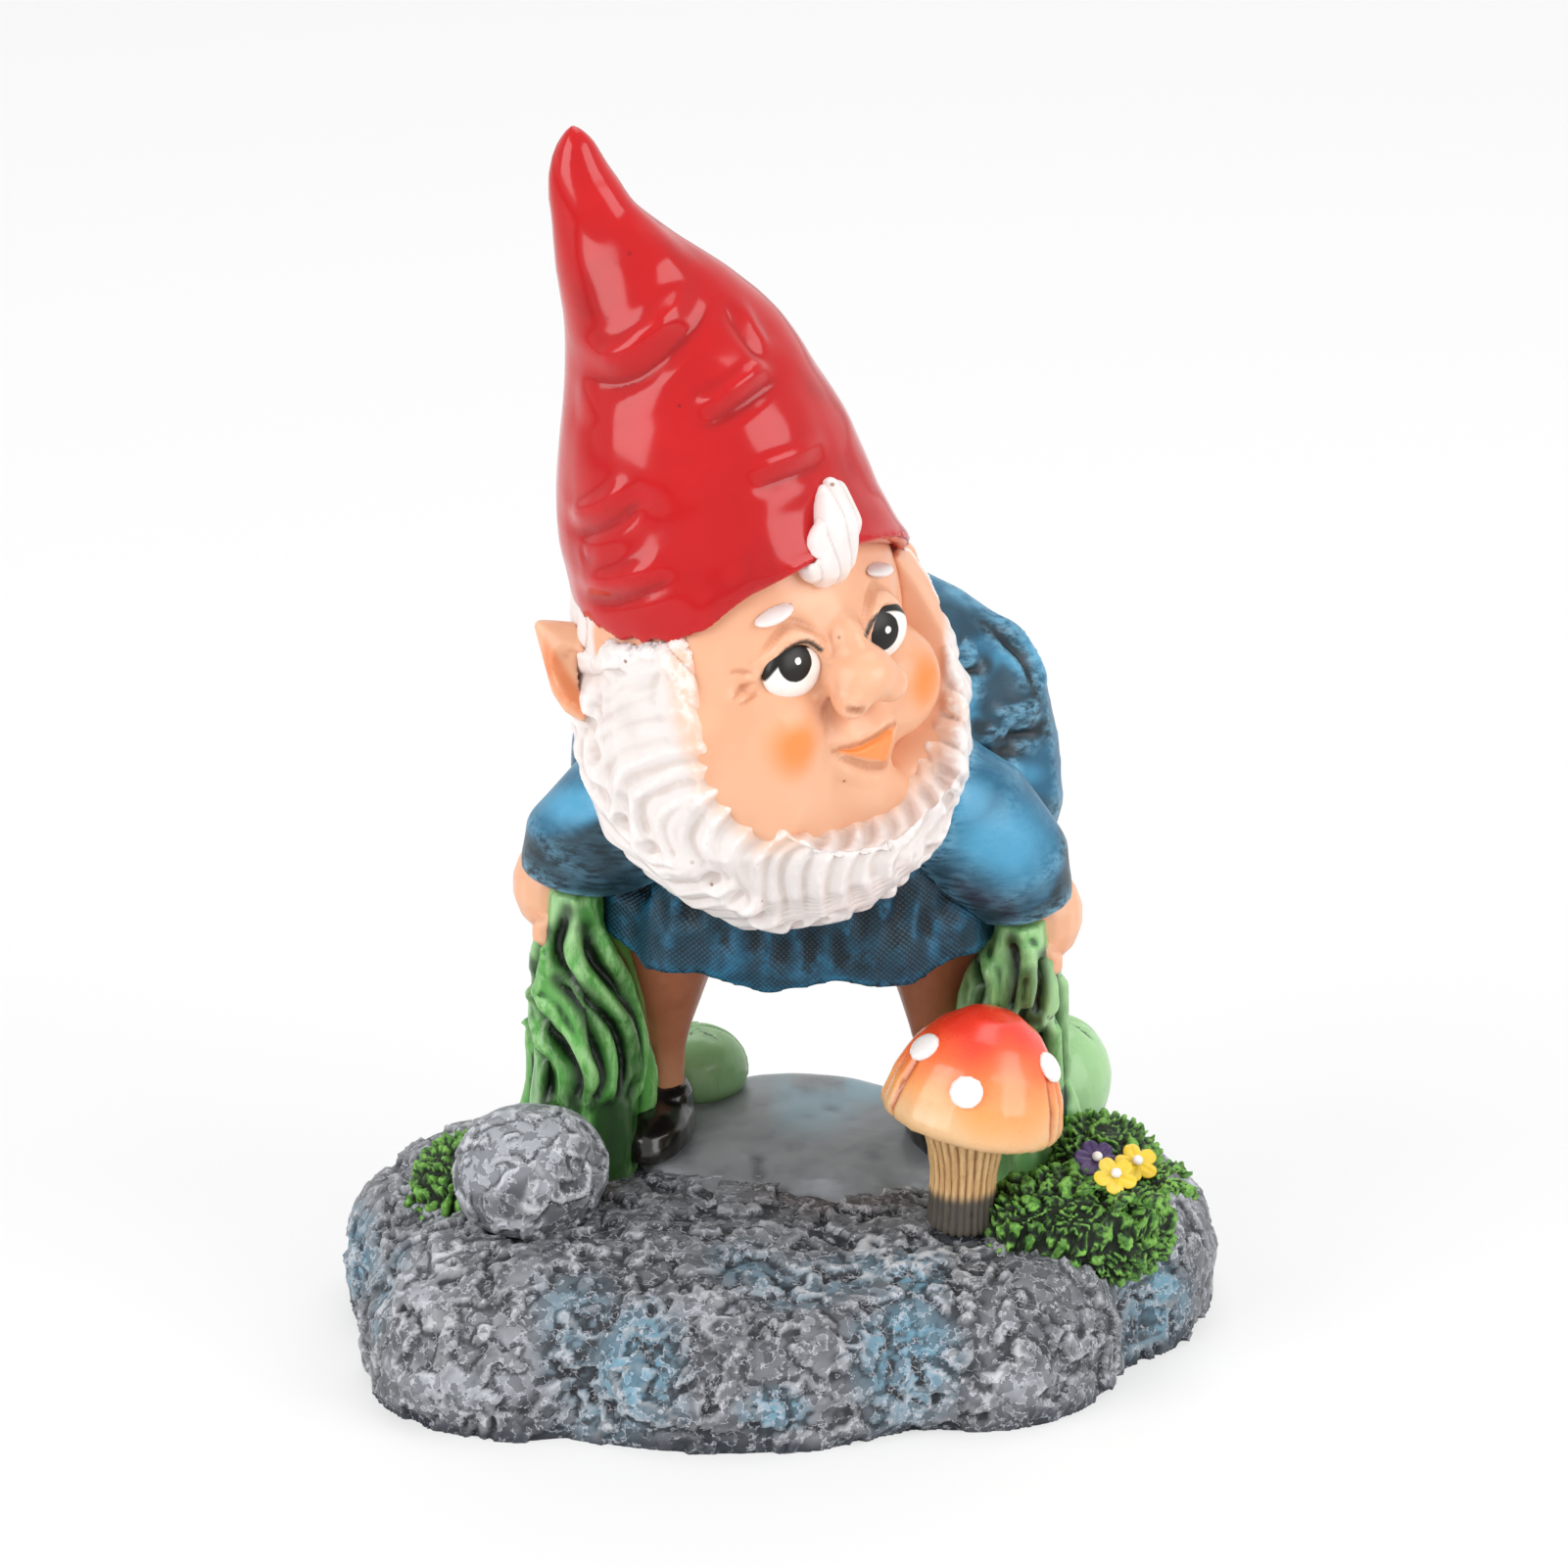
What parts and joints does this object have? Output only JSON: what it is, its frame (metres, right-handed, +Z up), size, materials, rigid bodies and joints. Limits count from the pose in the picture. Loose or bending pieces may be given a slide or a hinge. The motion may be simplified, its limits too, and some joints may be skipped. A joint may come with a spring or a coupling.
{
  "type": "garden gnome",
  "caption": "Cast figurine of a bent-over bearded gnome in a tall pointed hat, holding lowered trousers, on a rock base with a toadstool, boulder, moss and flowers.",
  "frame": {"origin": "middle of the rock base's flat underside, on the surface that it stands on", "axes": "+Z up, the gnome's front faces -Y, its right hand on the -X side and its left hand on the +X side"},
  "size_m": [0.1022, 0.0702, 0.147],
  "materials": {
    "rock": "cast resin painted as cratered grey rock, lavender-white dry brush and blue wash",
    "slab": "cast resin painted smooth slate grey",
    "moss": "cast resin painted dark and mid green",
    "leaf": "cast resin painted leaf green",
    "purple_petal": "painted purple",
    "yellow_petal": "painted yellow",
    "white_paint": "painted white",
    "stem": "painted cream with brown ribs and a dark foot",
    "cap": "sprayed from red at the top to cream yellow at the rim, satin",
    "shoe": "painted black, glossy",
    "leg_skin": "painted brown-peach",
    "trousers": "painted green with dark folds, satin",
    "tunic": "painted dark blue with lighter brushed blue, satin",
    "skin": "painted peach with orange blush, satin",
    "eye": "painted white with a black iris and a white dot",
    "hair": "painted white over peach, satin",
    "hat": "painted red under a gloss varnish"
  },
  "bodies": {
    "root": {"base_rock": "rock", "standing_slab": "slab", "boulder": "rock", "left_moss": "moss", "right_moss": "moss", "right_leaves": "leaf", "purple_flower": "purple_petal", "yellow_flowers": "yellow_petal", "flower_centres": "white_paint", "mushroom_stem": "stem", "mushroom_cap": "cap", "mushroom_spots": "white_paint", "left_shoe": "shoe", "right_shoe": "shoe", "left_leg": "leg_skin", "right_leg": "leg_skin", "left_trouser_leg": "trousers", "right_trouser_leg": "trousers", "left_trouser_cuff": "trousers", "right_trouser_cuff": "trousers", "trouser_seat": "trousers", "tunic_skirt": "tunic", "tunic_back": "tunic", "left_sleeve": "tunic", "right_sleeve": "tunic", "left_hand": "skin", "right_hand": "skin", "head": "skin", "left_eye": "eye", "right_eye": "eye", "left_eyebrow": "hair", "right_eyebrow": "hair", "left_ear": "skin", "right_ear": "skin", "beard": "hair", "hair_tuft": "hair", "hat": "hat"}
  },
  "joints": []
}
